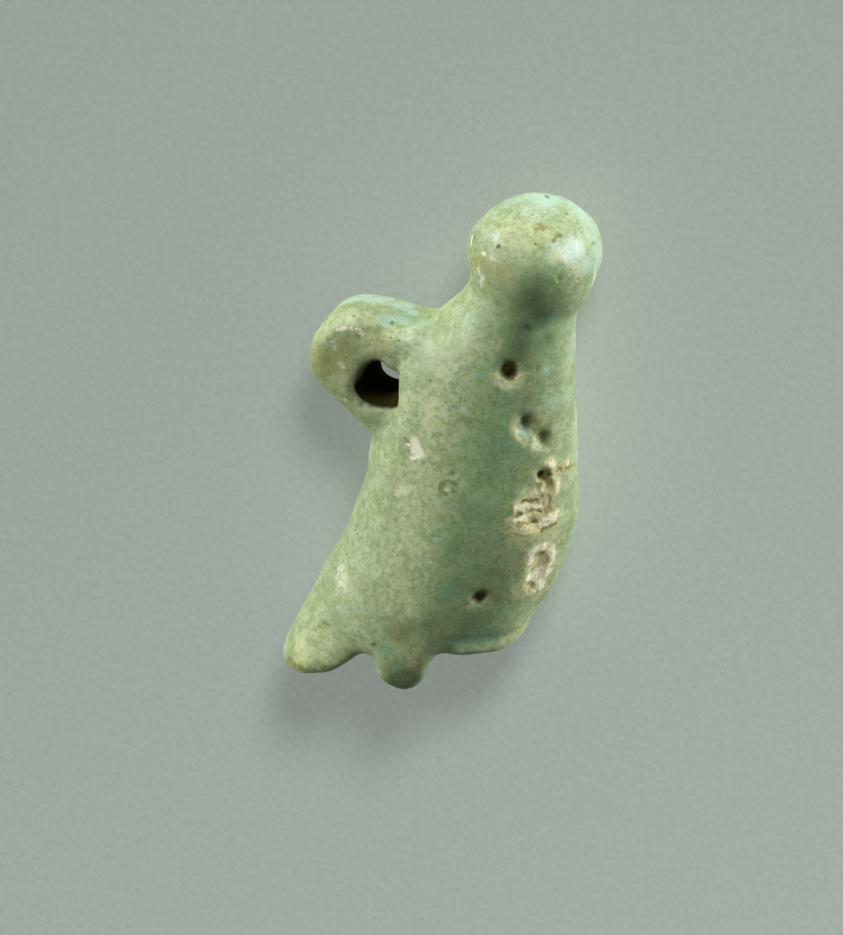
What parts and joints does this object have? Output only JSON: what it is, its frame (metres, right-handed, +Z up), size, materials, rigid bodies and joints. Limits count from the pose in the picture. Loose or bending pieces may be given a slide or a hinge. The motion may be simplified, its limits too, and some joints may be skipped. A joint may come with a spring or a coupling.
{
  "type": "white crown amulet",
  "caption": "Small glazed faience amulet in the form of the tall white crown, with a round knob on top, a cord loop behind and an ear tab at each side, lying on its side.",
  "frame": {"origin": "centre of the bounding box, at its lowest level, on the ground under the lying amulet", "axes": "+X towards the crown's front, +Y towards its top, +Z up, away from the side it lies on"},
  "size_m": [0.0164, 0.0262, 0.0078],
  "materials": {
    "glaze": "satin, worn and pitted"
  },
  "bodies": {
    "root": {"crown_amulet": "glaze"}
  },
  "joints": []
}
